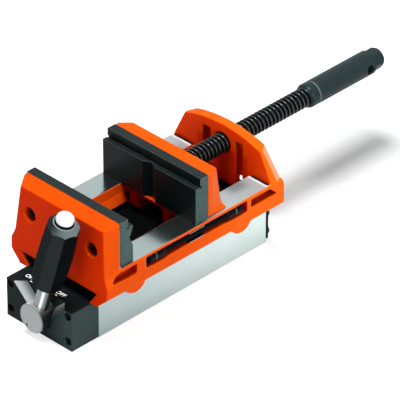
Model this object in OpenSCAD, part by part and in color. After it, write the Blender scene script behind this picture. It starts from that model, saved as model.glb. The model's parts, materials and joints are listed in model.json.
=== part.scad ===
// Machine vise on a switchable magnet base.
// X runs along the spindle towards its handle, Y across the vise, Z up.
// The origin is the middle of the steel block's underside. All sizes in mm.

/* [Magnet base] */
// Width of the magnet base across the vise
base_w = 70.6; // [68:0.1:74.2]
// Height of the magnet base
base_h = 34.4; // [33.1:0.1:37.1]
// Length of the steel pole block
block_len = 179.2; // [175.8:0.1:184.6]
// Length of the black end cap in front of the block
cap_len = 27.8; // [26.5:0.1:30]
// Thickness of the rear closing plate
rear_plate_t = 2.7; // [1.8:0.1:3.5]
// Height of the rear plate's lower edge above the underside
rear_plate_lift = 0.4; // [0.4:0.1:3.5]
// Width of the non-magnetic strip between the pole halves
spacer_w = 7.1; // [5.3:0.1:8.8]
// Diameter of the turning magnet
rotor_d = 25.6; // [23.9:0.1:26.5]
// Radial air gap round the turning magnet
rotor_gap = 0.4; // [0.3:0.05:0.6]
// Diameter of the rotor shaft
shaft_d = 10.6; // [9.7:0.1:11.5]
// Radial running clearance of shafts in their bearings
run_gap = 0.04; // [0.02:0.01:0.08]
// Radial clearance of screws in their holes
screw_gap = 0.15; // [0.1:0.05:0.3]
// Diameter of the screws in the base and the keeper
thin_screw_d = 4; // [3.6:0.1:4.4]
// Head diameter of the four cap screws
cap_screw_d = 6.2; // [5.3:0.1:7.1]

/* [Switch lever] */
// Diameter of the lever hub
hub_d = 24.3; // [22.1:0.1:25.6]
// How far the hub stands out of the cap
hub_reach = 8.7; // [7.1:0.1:10.6]
// Depth of the swing notch in the cap
notch_depth = 7.2; // [7.1:0.1:8.8]
// Half width of the swing notch at the cap's top edge
notch_half_w = 27.4; // [25.6:0.1:29.2]
// Slope of the notch edges from the horizontal
notch_slope = 43; // [41:0.5:45]
// Diameter of the lever stem
stem_d = 12; // [10.8:0.1:12.2]
// Distance of the stem axis in front of the cap face
stem_front = 0.9; // [0.9:0.1:1.8]
// Lean of the lever towards the near side when off
off_lean = 17; // [12:0.5:18]
// Distance from the hub axis to the lower end of the grip
grip_start = 35.3; // [35.3:0.1:38.9]
// Length of the grip
grip_len = 67.1; // [60.1:0.1:76]
// Width of the grip across its flats at its belly
grip_w = 26.3; // [24.6:0.1:28]
// Width of the grip across its flats at the upper end
grip_top_w = 24; // [22.6:0.1:24.6]
// Width of the grip across its flats at the lower end
grip_foot_w = 21.8; // [20:0.1:23]
// Turn of the grip's corners about the stem
grip_turn = 9; // [0:1:45]
// Diameter of the release button
button_d = 13.8; // [12.4:0.1:15]
// Height of the release button above the grip
button_h = 7.1; // [5.3:0.1:8]
// Stroke of the release button
button_stroke = 2.7; // [1.8:0.1:3.1]

/* [Vise frame] */
// Overall length of the cast frame
frame_len = 189.6; // [185.5:0.1:192.6]
// Set-back of the frame foot behind the front face of the cap
frame_setback = 19.4; // [17.7:0.1:21.2]
// Overall width of the cast frame over the slideways
frame_w = 106.4; // [104.2:0.1:109.5]
// Height of the slideways above the magnet base
frame_h = 31.8; // [30.9:0.1:33.6]
// Width of the slot between the slideways
slot_w = 61.4; // [60.1:0.1:62.7]
// Thickness of the adapter plate under the frame
adapter_t = 10.9; // [10.2:0.1:11.5]
// Width of the side lugs that grip the base
lug_w = 23.9; // [21.2:0.1:26.5]
// Distance of the lugs from the middle of the base
lug_x = 56.5; // [53:0.1:60.1]
// Drop of the lugs below the top of the base
lug_drop = 6.4; // [4.4:0.1:8]
// Thickness of the fixed jaw block behind its plate
fixed_jaw_t = 12.4; // [11:0.1:14.1]
// Thickness of the rear bridge at its foot
bridge_t = 14.2; // [13.3:0.1:15.9]
// Height of the rear bridge above the slideways
bridge_h = 31.8; // [30:0.1:33.6]
// Depth of the recess in the inner face of the bridge
bridge_recess = 5.7; // [3.5:0.1:6.2]
// Width of the column round the spindle bore, between the two slots of the bridge
column_w = 26; // [24:0.2:30]
// Diameter of the screws in the frame and the jaws
thick_screw_d = 6; // [5.6:0.1:6.4]
// Head diameter of the jaw screws
jaw_screw_d = 11; // [9.7:0.1:11.5]
// Distance between the two jaw screws
jaw_screw_pitch = 66.2; // [61.8:0.1:70.7]

/* [Jaws] */
// Width of the jaw plates
jaw_w = 100; // [95.4:0.1:102.5]
// Height of the jaw plates above the slideways
jaw_h = 39.1; // [38:0.1:41.5]
// Thickness of the jaw plates at the top
plate_t = 8.1; // [7.1:0.1:8.8]
// Extra thickness of the jaw plates below the ledge
ledge_w = 5; // [3.5:0.1:5.7]
// Depth of the ledge below the top of the jaws
ledge_drop = 7.4; // [6.2:0.1:8.8]
// Depth of the V grooves in the jaw plates
vee_depth = 3.7; // [2.7:0.1:4.4]
// Gap between the jaw faces as drawn
jaw_gap = 66.2; // [53:0.1:70.7]
// Depth of the moving jaw body at the top
carriage_t = 12.5; // [11.5:0.1:15]
// Depth of the moving jaw body at the slideways
carriage_foot_t = 20.3; // [19.4:0.1:22.1]
// Sliding clearance of the moving jaw on the frame
slide_gap = 0.2; // [0.1:0.05:0.3]
// Thickness of the keeper plate under the slideways
keeper_t = 3.5; // [3.1:0.1:3.9]

/* [Spindle] */
// Height of the spindle axis above the slideways
spindle_lift = 15.2; // [14.6:0.1:16.3]
// Outer diameter of the spindle thread
spindle_d = 16; // [14.1:0.1:16.3]
// Diameter of the spindle journal in the moving jaw
journal_d = 12.4; // [10.6:0.1:12.8]
// Free thread length from the moving jaw to the handle
thread_len = 131.6; // [127.2:0.1:136]
// Outer diameter of the handle sleeve
sleeve_d = 20; // [18.6:0.1:22.1]
// Length of the handle sleeve
sleeve_len = 84.5; // [79.5:0.1:97.2]
// Diameter of the stepped end of the handle sleeve
sleeve_end_d = 17.7; // [16.3:0.1:18.1]
// Length of the stepped end of the handle sleeve
sleeve_end_len = 12; // [10.6:0.1:15.9]
// Width across the six flats of the stepped end
sleeve_flats = 16.2; // [15.6:0.1:16.6]
// Wall thickness of the bronze spindle nut
nut_wall = 2.3; // [1.8:0.1:2.5]

/* [Stored bar] */
// Diameter of the tommy bar
bar_d = 7; // [6.5:0.1:7.2]
// Length of the tommy bar over its end caps
bar_len = 98.9; // [93.6:0.1:102.5]
// Diameter of the end caps on the tommy bar
bar_cap_d = 9.2; // [8.8:0.1:9.4]
// Length of each end cap
bar_cap_len = 16.8; // [13.3:0.1:19.4]
// Length of the clip that holds the bar
clip_len = 16.4; // [13.3:0.1:19.4]
// Radial clearance of the bar in its cross hole
bar_gap = 0.4; // [0.3:0.05:0.45]

/* [Hidden] */
$fn = 64;

// Magnet base
thin_screw_r = thin_screw_d / 2;
thick_screw_r = thick_screw_d / 2;
hx = block_len / 2;
cap_x0 = -hx - cap_len;
rear_x1 = hx + rear_plate_t;
axis_z = base_h / 2;
bore_r = rotor_d / 2 + rotor_gap;
bush_r = shaft_d / 2 + 2.7;
cap_screw_y = base_w / 2 - 4.4;
cap_screw_zs = [8, base_h - 4.2];
rear_screw_y = base_w / 2 - 3.5;
rear_screw_zs = [8.7, base_h - 9.3];

// Lever, drawn along its own axis with the hub axis at zero
stem_x = cap_x0 - stem_front;
hub_x0 = cap_x0 - hub_reach;
hub_x1 = cap_x0 + notch_depth - 0.4;
grip_top = grip_start + grip_len;
grip_rim = 5.3;
grip_waist = grip_start + grip_len * 0.2;
grip_belly = grip_start + grip_len * 0.45;
button_seat = grip_top - 4.4;
button_top = grip_top + button_h;
plunger_r = button_d / 4;
plunger_low = grip_top - 24.7;
stem_top = plunger_low - 12.4;
spring_h = plunger_low - stem_top - button_stroke - 0.3;

// Frame heights and stations
zb = base_h;
zr = zb + frame_h;
knee_z = zb + adapter_t;
keeper_z0 = knee_z + 0.5;
flange_z = keeper_z0 + keeper_t + slide_gap;
fw = frame_w / 2;
sw = slot_w / 2;
rail_edge = 1.4;
lip = 3.5;
foot_in = base_w / 2 - 2;
foot_out = base_w / 2 + 6.2;
knee_in = foot_in + adapter_t * 0.72;
frame_x0 = cap_x0 + frame_setback;
frame_x1 = frame_x0 + frame_len;
jaw_top = zr + jaw_h;
front_top_x = frame_x0 + 5.1;
front_top_z = jaw_top - 4.8;
fixed_x = front_top_x + fixed_jaw_t;
bridge_x = frame_x1 - bridge_t;
bridge_top = zr + bridge_h;
bridge_top_x = frame_x1 - 4.9;
crown_r = 122.8;
jaw_screw_y = jaw_screw_pitch / 2;
jaw_screw_z = zr + 14.1;
far_x = 229.7;
adapter_x0 = frame_x0 + 3.1;
adapter_x1 = frame_x1 - 2;
adapter_screw_xs = [fixed_x + 18.7, bridge_x - 15.6];
adapter_screw_y = base_w / 2 - 12.3;
adapter_screw_len = 13.3;
thick_head_r = thick_screw_r + 2.7;
thick_head_h = 7;
frame_bolts_at = [[fixed_x - 6.6, sw - 9.5], [bridge_x + 6.2, sw - 3.3]];
bolt_seat_z = zb + 5.7;
bolt_reach = 14.1;

// Jaws and carriage
jw = jaw_w / 2;
face_x = fixed_x + plate_t + ledge_w;
move_face_x = face_x + jaw_gap;
carriage_x = move_face_x + ledge_w + plate_t;
carriage_x1 = carriage_x + carriage_t;
foot_x = carriage_x + carriage_foot_t;
ledge_z = jaw_top - ledge_drop;
leg_y0 = 13.3;
leg_y1 = 21.6;
tongue_z = zr - 3.1;
leg_z = keeper_z0 + keeper_t;
tongue_x0 = move_face_x + 0.3;
tongue_x1 = foot_x + 4.4;
keeper_screw_xs = [tongue_x0 + 10.6, tongue_x1 - 7.1];
keeper_screw_y = (leg_y0 + leg_y1) / 2;
keeper_head_r = thin_screw_r + 1.9;

// Spindle
sz = zr + spindle_lift;
spindle_r = spindle_d / 2;
journal_r = journal_d / 2;
boss_r = spindle_r + 3.9;
boss_x1 = foot_x + 3.5;
groove_x = boss_x1 - 5.3;
pin_r = 2.2;
groove_r = journal_r - 1.9;
thread_x0 = boss_x1 + 0.3;
sleeve_x0 = thread_x0 + thread_len;
sleeve_x1 = sleeve_x0 + sleeve_len;
step_x = sleeve_x1 - sleeve_end_len;
cross_x = step_x - 7.5;
tenon_r = spindle_r - 1.8;
tenon_x1 = cross_x - 10.6;
nut_r = spindle_r + nut_wall;
nut_x0 = bridge_x + 2.7;
bridge_boss_r = nut_r + 1.3;
arch_z = knee_z + 9.4;
nut_x1 = frame_x1 - 1.8;

// Stored bar
bar_r = bar_d / 2;
bar_hole_r = bar_r + bar_gap;
bar_z = zr - 6.4;
bar_y = -fw + 4.7;
bar_mid = -2.7;
slot_half = bar_len / 2 + 4.4;
slot_floor = fw - 9.5;

// Extrudes a section drawn as (y, z) along X
module along_x(x0, x1) {
    translate([x0, 0, 0])
        rotate([90, 0, 90])
            linear_extrude(height = x1 - x0)
                children();
}

// Extrudes a section drawn as (x, z) along Y
module along_y(y0, y1) {
    translate([0, y1, 0])
        rotate([90, 0, 0])
            linear_extrude(height = y1 - y0)
                children();
}

// Round bar along X
module rod_x(x0, x1, r, y = 0, z = 0) {
    translate([x0, y, z])
        rotate([0, 90, 0])
            cylinder(h = x1 - x0, r = r);
}

// Round bar along Z
module rod_z(z0, z1, r, x = 0, y = 0) {
    translate([x, y, z0])
        cylinder(h = z1 - z0, r = r);
}

// Box between two corners
module block(a, b) {
    translate(a)
        cube(b - a);
}

// Everything on the outer side of the plane through three points
module beyond(a, b, c) {
    n = cross(b - a, c - a) / norm(cross(b - a, c - a));
    translate(a)
        rotate([0, acos(n[2]), atan2(n[1], n[0])])
            translate([-far_x, -far_x, 0])
                cube(2 * far_x);
}

// The children and their mirror image across the middle plane
module both_sides() {
    children();
    mirror([0, 1, 0])
        children();
}

// Puts a piece drawn along the lever axis in its place with the lever off
module on_lever() {
    translate([stem_x, 0, axis_z])
        rotate([off_lean, 0, 0])
            children();
}

// Bores for the screws that enter the pole halves from the ends and the top
module pole_bores() {
    rod_x(-hx - 1, hx + 1, bore_r, 0, axis_z);
    for (z = cap_screw_zs)
        both_sides()
            rod_x(-hx - 1, -hx + 11.5, thin_screw_r + screw_gap, cap_screw_y, z);
    for (z = rear_screw_zs)
        both_sides()
            rod_x(hx - 9.7, hx + 1, thin_screw_r + screw_gap, rear_screw_y, z);
    for (x = adapter_screw_xs)
        both_sides()
            rod_z(zb - adapter_screw_len - 0.8, zb + 1, thick_screw_r + screw_gap, x, adapter_screw_y);
}

module pole_left() {
    color("silver")
        difference() {
            block([-hx, spacer_w / 2, 0], [hx, base_w / 2, base_h]);
            pole_bores();
        }
}

module pole_right() {
    color("silver")
        difference() {
            block([-hx, -base_w / 2, 0], [hx, -spacer_w / 2, base_h]);
            pole_bores();
        }
}

module spacer_top() {
    color("goldenrod")
        difference() {
            block([-hx, -spacer_w / 2, axis_z + bore_r - 1.8], [hx, spacer_w / 2, base_h]);
            rod_x(-hx - 1, hx + 1, bore_r, 0, axis_z);
        }
}

module spacer_bottom() {
    color("goldenrod")
        difference() {
            block([-hx, -spacer_w / 2, 0], [hx, spacer_w / 2, axis_z - bore_r + 1.8]);
            rod_x(-hx - 1, hx + 1, bore_r, 0, axis_z);
        }
}

// Magnet bar with two flats between its poles, bored for the shaft
module rotor_magnet() {
    color("dimgray")
        difference() {
            rod_x(-hx + 1.3, hx - 6.2, rotor_d / 2, 0, axis_z);
            rod_x(-hx, hx, shaft_d / 2, 0, axis_z);
            both_sides()
                block([-hx, rotor_d / 2 - 1.1, 0], [hx, rotor_d, base_h]);
        }
}

module rotor_shaft() {
    color("lightgray")
        rod_x(hub_x0 + 6.2, hx - 0.4, shaft_d / 2, 0, axis_z);
}

// Swing notch with bevelled end walls and a round pocket for the hub
module cap_notch() {
    edge = [0, -15.9 * cos(notch_slope), -15.9 * sin(notch_slope)];
    top = [cap_x0, notch_half_w, base_h];
    back = [notch_depth, -notch_depth, 0];
    intersection() {
        block([cap_x0 - 4.4, -base_w, 0], [cap_x0 + notch_depth, base_w, base_h + 4.4]);
        beyond(top, top + edge, top + back);
        mirror([0, 1, 0])
            beyond(top, top + edge, top + back);
    }
    rod_x(cap_x0 - 1, cap_x0 + notch_depth, hub_d / 2 + 0.5, 0, axis_z);
}

module front_cap() {
    color([0.09, 0.1, 0.11])
        difference() {
            along_x(cap_x0, -hx)
                polygon([[-base_w / 2, 0.5], [-base_w / 2 + 0.5, 0], [base_w / 2 - 0.5, 0],
                    [base_w / 2, 0.5], [base_w / 2, base_h - 0.5], [base_w / 2 - 0.5, base_h],
                    [-base_w / 2 + 0.5, base_h], [-base_w / 2, base_h - 0.5]]);
            cap_notch();
            rod_x(cap_x0, -hx + 1, bush_r, 0, axis_z);
            for (z = cap_screw_zs)
                both_sides() {
                    rod_x(cap_x0 - 1, cap_x0 + 6.6, cap_screw_d / 2 + 0.35, cap_screw_y, z);
                    rod_x(cap_x0, -hx + 1, thin_screw_r + screw_gap, cap_screw_y, z);
                }
        }
}

module front_bush() {
    color("peru")
        difference() {
            rod_x(cap_x0 + notch_depth, -hx, bush_r, 0, axis_z);
            rod_x(cap_x0, 0, shaft_d / 2 + run_gap, 0, axis_z);
        }
}

// Socket head screw along X with its head towards -X
module socket_screw_x(x0, head_r, head_h, shank_r, len, y, z) {
    difference() {
        union() {
            rod_x(x0, x0 + head_h, head_r, y, z);
            rod_x(x0 + head_h - 0.1, x0 + head_h + len, shank_r, y, z);
        }
        translate([x0 - 1, y, z])
            rotate([0, 90, 0])
                cylinder(h = head_h * 0.6 + 1, r = head_r * 0.6, $fn = 6);
    }
}

module cap_screws() {
    color([0.12, 0.12, 0.13])
        for (z = cap_screw_zs)
            both_sides()
                socket_screw_x(cap_x0 + 2.2, cap_screw_d / 2, 4.4, thin_screw_r, cap_len + 3.5,
                    cap_screw_y, z);
}

module rear_plate() {
    color([0.08, 0.08, 0.09])
        difference() {
            along_x(hx, rear_x1)
                polygon([[-base_w / 2 + 2.7, rear_plate_lift], [base_w / 2 - 2.7, rear_plate_lift],
                    [base_w / 2, rear_plate_lift + 2.7], [base_w / 2, base_h], [-base_w / 2, base_h],
                    [-base_w / 2, rear_plate_lift + 2.7]]);
            for (z = rear_screw_zs)
                both_sides()
                    rod_x(hx - 1, rear_x1 + 1, thin_screw_r + screw_gap, rear_screw_y, z);
        }
}

module rear_bush() {
    color("peru")
        difference() {
            rod_x(hx - 5.3, hx, bore_r, 0, axis_z);
            rod_x(hx - 7.1, hx + 1, shaft_d / 2 + run_gap, 0, axis_z);
        }
}

// Button head screws, domed heads towards +X
module rear_plate_screws() {
    color([0.1, 0.1, 0.1])
        for (z = rear_screw_zs)
            both_sides()
                translate([rear_x1, rear_screw_y, z])
                    rotate([0, 90, 0])
                        difference() {
                            rotate_extrude()
                                polygon([[0, -10.6], [thin_screw_r, -10.6], [thin_screw_r, 0],
                                    [3.7, 0], [3.7, 0.7], [3.3, 1.8], [2.1, 2.7], [0, 2.7]]);
                            translate([0, 0, 1.2])
                                cylinder(h = 3.5, r = 1.5, $fn = 6);
                        }
}

// Hub with edge bevel, shaft bore, radial stem bore and a small pin hole in its face
module lever_hub() {
    color("lightgray")
        difference() {
            translate([hub_x0, 0, axis_z])
                rotate([0, 90, 0])
                    rotate_extrude()
                        polygon([[0, 0], [hub_d / 2 - 0.7, 0], [hub_d / 2, 0.7],
                            [hub_d / 2, hub_x1 - hub_x0], [0, hub_x1 - hub_x0]]);
            rod_x(hub_x0 + 6.2, hub_x1 + 1, shaft_d / 2, 0, axis_z);
            on_lever()
                rod_z(shaft_d / 2 + 1.3, hub_d, stem_d / 2);
            rod_x(hub_x0 - 1, hub_x0 + 5.3, 2, 3.3, axis_z - 7.2);
        }
}

module hub_pin() {
    color("gainsboro")
        rod_x(hub_x0 + 1, hub_x0 + 5.3, 2, 3.3, axis_z - 7.2);
}

module lever_stem() {
    color("silver")
        on_lever()
            rod_z(shaft_d / 2 + 1.3, stem_top, stem_d / 2);
}

// Eight-sided tapered grip with a turned rim, bored for stem, spring and button
module lever_grip() {
    flat = 1 / cos(22.5);
    color([0.07, 0.08, 0.09])
        on_lever()
            difference() {
                intersection() {
                    rotate([0, 0, grip_turn]) {
                        translate([0, 0, grip_start])
                            cylinder(h = grip_waist - grip_start, r1 = grip_foot_w / 2 * flat,
                                r2 = (grip_w / 2 - 0.5) * flat, $fn = 8);
                        translate([0, 0, grip_waist])
                            cylinder(h = grip_belly - grip_waist, r1 = (grip_w / 2 - 0.5) * flat,
                                r2 = grip_w / 2 * flat, $fn = 8);
                        translate([0, 0, grip_belly])
                            cylinder(h = grip_top - grip_belly, r1 = grip_w / 2 * flat,
                                r2 = grip_top_w / 2 * flat, $fn = 8);
                    }
                    rotate_extrude()
                        polygon([[0, grip_start], [grip_foot_w / 2 - 1, grip_start],
                            [grip_foot_w / 2 + 1.2, grip_start + 2],
                            [grip_w / 2 + 2, grip_waist], [grip_w / 2 + 2, grip_belly],
                            [grip_top_w / 2 + 1.6, grip_top - grip_rim],
                            [button_d / 2 + 1.6, grip_top], [0, grip_top]]);
                }
                rod_z(grip_start - 1, stem_top + 0.2, stem_d / 2);
                rod_z(stem_top, plunger_low - 0.4, plunger_r + 1.9);
                rod_z(stem_top, grip_top, plunger_r + run_gap);
                rod_z(button_seat - button_stroke - 0.4, grip_top + 1, button_d / 2 + 0.5);
            }
}

// Domed push button with a plunger that runs in the grip
module release_button() {
    r = button_d / 2;
    color("white")
        on_lever()
            rotate_extrude()
                polygon([[0, plunger_low], [plunger_r, plunger_low], [plunger_r, button_seat],
                    [r, button_seat], [r, button_top - 3], [r - 0.4, button_top - 1.9],
                    [r - 1.4, button_top - 1], [r - 3.2, button_top - 0.3], [0, button_top]]);
}

// Coil spring below the plunger, drawn at its pressed height
module button_spring() {
    color("gray")
        on_lever()
            translate([0, 0, stem_top])
                linear_extrude(height = spring_h, twist = -1080, slices = 54, $fn = 4)
                    polygon(concat([for (a = [0:40:120]) (plunger_r + 0.7) * [cos(a), sin(a)]],
                        [for (a = [120:-40:0]) (plunger_r - 0.7) * [cos(a), sin(a)]]));
}

// Section of one slideway with its outer wall and inward leaning leg
module rail_section() {
    polygon([[sw, zr], [fw - rail_edge, zr], [fw, zr - rail_edge], [fw, knee_z], [foot_out, zb],
        [foot_in, zb], [knee_in, knee_z], [knee_in, flange_z], [sw - lip, flange_z],
        [sw, zr - 8.4]]);
}

// Front corner points of the fixed jaw block on its leaning front face
front_lean = (front_top_x - frame_x0) / (front_top_z - zb);
block_foot = [frame_x0 + front_lean * (frame_h - 10.9), fw - 2.3, zr - 10.9];
block_waist = [frame_x0 + front_lean * (frame_h - 4.4), jw - 2.1, zr - 4.4];
block_heel = [fixed_x, fw, zr - 1.6];
block_crest = [front_top_x, jw - 5.8, front_top_z];
block_rear = [fixed_x - 2.7, jw, jaw_top - 1.1];

// Upper part of the fixed jaw block with tapered flanks and sloped top
module fixed_block() {
    difference() {
        block([frame_x0 - 1.8, -jw, zr - 7.1], [fixed_x, jw, jaw_top]);
        both_sides()
            beyond(block_waist, block_crest, block_rear);
        beyond([front_top_x, 0, front_top_z], [fixed_x, 0, jaw_top], [front_top_x, 8, front_top_z]);
    }
}

// Everything behind the drafted back of the bridge
module bridge_draft() {
    beyond([frame_x1, 0, zr - 7.1], [frame_x1, 8, zr - 7.1], [bridge_top_x, 0, bridge_top - 6.2]);
}

// Rear bridge with crowned top and bevelled flanks
module bridge_block() {
    difference() {
        intersection() {
            along_x(bridge_x, frame_x1)
                polygon([[-fw, knee_z], [fw, knee_z], [fw, zr - 2.7], [fw - 1.1, zr + 1],
                    [fw - 12.6, bridge_top - 7.2], [fw - 25.9, bridge_top - 3],
                    [0, bridge_top + 5.3], [-fw + 25.9, bridge_top - 3],
                    [-fw + 12.6, bridge_top - 7.2], [-fw + 1.1, zr + 1], [-fw, zr - 2.7]]);
            rod_x(bridge_x - 1, frame_x1 + 1, crown_r, 0, bridge_top - crown_r, $fn = 180);
        }
        both_sides()
            beyond([bridge_x + 2.7, fw - 12.6, bridge_top - 7.2],
                [bridge_top_x, fw - 16.2, bridge_top - 7.2], [bridge_x + 6.2, fw - 2.9, zr + 4.4]);
        difference() {
            union() {
                block([bridge_x - 1, -21.4, knee_z - 1], [bridge_x + bridge_recess, 21.4, zr + 22.1]);
                block([bridge_x - 1, -23, knee_z - 1], [frame_x1 + 1, 23, arch_z]);
            }
            block([bridge_x + 1.1, -column_w / 2, knee_z - 1.8],
                [bridge_x + bridge_recess + 1.1, column_w / 2, sz]);
            block([bridge_x - 2, -column_w / 2, sz],
                [bridge_x + bridge_recess + 1.1, column_w / 2, zr + 23]);
        }
    }
}

// Side pockets: a long one for the bar and a shorter one towards each end
module side_pockets() {
    along_y(-fw - 1, -slot_floor) {
        polygon([[bar_mid - slot_half, bar_z - 4.9], [bar_mid - slot_half + 21.2, bar_z - 4.9],
            [bar_mid - slot_half + 24.7, bar_z - 4.2], [bar_mid + slot_half - 24.7, bar_z - 4.2],
            [bar_mid + slot_half - 21.2, bar_z - 4.9], [bar_mid + slot_half, bar_z - 4.9],
            [bar_mid + slot_half, bar_z + 4.9], [bar_mid - slot_half, bar_z + 4.9]]);
    }
    along_y(-fw - 1, -fw + 7.1) {
        polygon([[fixed_x - 10.6, zr - 10], [fixed_x - 8.4, zr - 6.6], [fixed_x - 6.2, zr - 4.4],
            [fixed_x - 3.5, zr - 3.2], [fixed_x, zr - 2.4], [fixed_x + 14.4, zr - 2.4],
            [fixed_x + 14.4, zr - 10.5], [fixed_x - 9.7, zr - 10.5]]);
        polygon([[bridge_x - 22.1, zr - 2.4], [bridge_x - 1.8, zr - 2.4], [bridge_x + 6.2, zr - 9.5],
            [bridge_x - 22.1, zr - 9.5]]);
    }
}

// Half-round lug that reaches down beside the base
module side_lug(x) {
    r = lug_w / 2;
    intersection() {
        along_y(base_w / 2 + 0.2, foot_out + 0.4)
            translate([x, zb - lug_drop + r])
                circle(r = r);
        block([x - r, base_w / 2, 0], [x + r, fw, zb + 0.4]);
    }
}

module vise_body() {
    color([1, 0.36, 0.02])
        difference() {
            union() {
                difference() {
                    union() {
                        both_sides()
                            along_x(frame_x0 - 1.8, frame_x1)
                                rail_section();
                        block([frame_x0 - 1.8, -fw + 5.3, knee_z], [fixed_x, fw - 5.3, zr]);
                    }
                    both_sides()
                        intersection() {
                            beyond(block_foot, block_waist, block_heel);
                            block([frame_x0 - 1.8, 0, zb - 1], [fixed_x, fw + 1, zr + 1]);
                        }
                }
                both_sides() {
                    side_lug(-lug_x);
                    side_lug(lug_x);
                }
                fixed_block();
                bridge_block();
                rod_x(bridge_x, bridge_x + 8, bridge_boss_r, 0, sz);
            }
            beyond([frame_x0, 0, zb], [front_top_x, 0, front_top_z], [frame_x0, 8, zb]);
            bridge_draft();
            both_sides()
                beyond([frame_x0, fw - 2.3, zb], [frame_x0, fw - 2.3, zr], [frame_x0 + 4, fw, zb]);
            both_sides()
                side_pockets();
            rod_x(bridge_x - 2.7, frame_x1 + 3.5, spindle_r + 0.4, 0, sz);
            rod_x(nut_x0, frame_x1 + 3.5, nut_r, 0, sz);
            both_sides() {
                rod_x(frame_x0 - 4.4, fixed_x - 4.4, jaw_screw_d / 2 + 0.4, jaw_screw_y, jaw_screw_z);
                rod_x(frame_x0, fixed_x + 1, thick_screw_r + screw_gap, jaw_screw_y, jaw_screw_z);
                for (p = frame_bolts_at)
                    rod_z(knee_z - 1, knee_z + bolt_reach + 0.9, thick_screw_r + screw_gap, p[0], p[1]);
                block([bridge_x - 1.8, sw - 4.4, zr - 1.4], [bridge_x, fw - rail_edge - 1, zr + 1]);
            }
            translate([bar_mid, -slot_floor + 7.1, bar_z])
                rotate([90, 0, 0])
                    cylinder(h = 10.6, r = 1.4);
        }
}

// Dovetail shaped plate between the base and the frame
module adapter_plate() {
    wide = adapter_t * 0.72 - 0.2;
    low = foot_in - 0.5;
    color([0.06, 0.06, 0.07])
        difference() {
            along_x(adapter_x0, adapter_x1)
                polygon([[-low, zb], [low, zb], [low + wide, knee_z], [-low - wide, knee_z]]);
            for (x = adapter_screw_xs)
                both_sides() {
                    rod_z(zb - 1, knee_z + 1, thick_screw_r + screw_gap, x, adapter_screw_y);
                    rod_z(knee_z - thick_head_h - 0.4, knee_z + 1, thick_head_r + 0.4, x, adapter_screw_y);
                }
            for (p = frame_bolts_at)
                both_sides() {
                    rod_z(zb - 1, knee_z + 1, thick_screw_r + screw_gap, p[0], p[1]);
                    rod_z(zb - 1, bolt_seat_z, thick_head_r + 0.4, p[0], p[1]);
                }
        }
}

module adapter_screws() {
    color([0.15, 0.15, 0.16])
        for (x = adapter_screw_xs)
            both_sides()
                difference() {
                    union() {
                        rod_z(knee_z - thick_head_h - 0.4, knee_z - 0.4, thick_head_r, x, adapter_screw_y);
                        rod_z(zb - adapter_screw_len, knee_z - thick_head_h, thick_screw_r, x,
                            adapter_screw_y);
                    }
                    translate([x, adapter_screw_y, knee_z - 4.4])
                        cylinder(h = 5.3, r = thick_screw_r, $fn = 6);
                }
}

module frame_bolts() {
    color([0.15, 0.15, 0.16])
        both_sides()
            for (p = frame_bolts_at) {
                rod_z(zb + 0.4, bolt_seat_z, thick_head_r, p[0], p[1]);
                rod_z(bolt_seat_z - 0.1, knee_z + bolt_reach, thick_screw_r, p[0], p[1]);
            }
}

// Section of a jaw plate: u runs from its back towards the work, v up
module plate_section(vee) {
    t0 = plate_t;
    t1 = plate_t + ledge_w;
    low = zr + slide_gap;
    vz = ledge_z - 9.7;
    polygon(concat([[0, low], [t1, low]],
        vee ? [[t1, vz - 8], [t1 - vee_depth, vz], [t1, vz + 8]] : [],
        [[t1, ledge_z], [t0 + 1.2, ledge_z], [t0 + 1.2, ledge_z - 1.1], [t0 - 1.1, ledge_z - 1.1],
            [t0 - 1.1, ledge_z + 1.1], [t0, ledge_z + 1.1], [t0, jaw_top], [0, jaw_top]]));
}

module fixed_jaw_plate() {
    color([0.27, 0.32, 0.31])
        difference() {
            translate([fixed_x, 0, 0])
                along_y(-jw, jw)
                    plate_section(true);
            both_sides()
                rod_x(fixed_x - 1, fixed_x + 6.2, thick_screw_r + screw_gap, jaw_screw_y, jaw_screw_z);
        }
}

module fixed_jaw_screws() {
    color([0.13, 0.13, 0.14])
        both_sides()
            socket_screw_x(fixed_x - 9.7, jaw_screw_d / 2, 5.3, thick_screw_r, 9.7, jaw_screw_y,
                jaw_screw_z);
}

module moving_jaw_plate() {
    color([0.27, 0.32, 0.31])
        difference() {
            translate([carriage_x, 0, 0])
                mirror([1, 0, 0])
                    along_y(-jw, jw)
                        plate_section(false);
            translate([move_face_x, 0, zr - 1])
                linear_extrude(height = jaw_h + 1.8)
                    polygon([[-1, -8], [0, -7.1], [vee_depth, 0], [0, 7.1], [-1, 8]]);
            both_sides()
                rod_x(carriage_x - 6.2, carriage_x + 1, thick_screw_r + screw_gap, jaw_screw_y,
                    jaw_screw_z);
        }
}

module moving_jaw_screws() {
    color([0.13, 0.13, 0.14])
        mirror([1, 0, 0])
            both_sides()
                socket_screw_x(-carriage_x - 12, jaw_screw_d / 2, 7.1, thick_screw_r, 10.2, jaw_screw_y,
                    jaw_screw_z);
}

// Thin slice of the moving jaw's flared foot: shrink runs from 0 at its outline to 1 at the flanks
module foot_slab(z, t, shrink) {
    translate([0, 0, z])
        linear_extrude(height = t)
            polygon([[carriage_x, -jw], [carriage_x + 3.8, -jw], [foot_x - 1.3, -jw + shrink * 6.6],
                [foot_x - shrink * 4.5, -jw + 1.3 + shrink * 6.6],
                [foot_x - shrink * 4.5, jw - 1.3 - shrink * 16.5], [foot_x - 1.3, jw - shrink * 16.5],
                [carriage_x + 3.8, jw], [carriage_x, jw]]);
}

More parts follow.
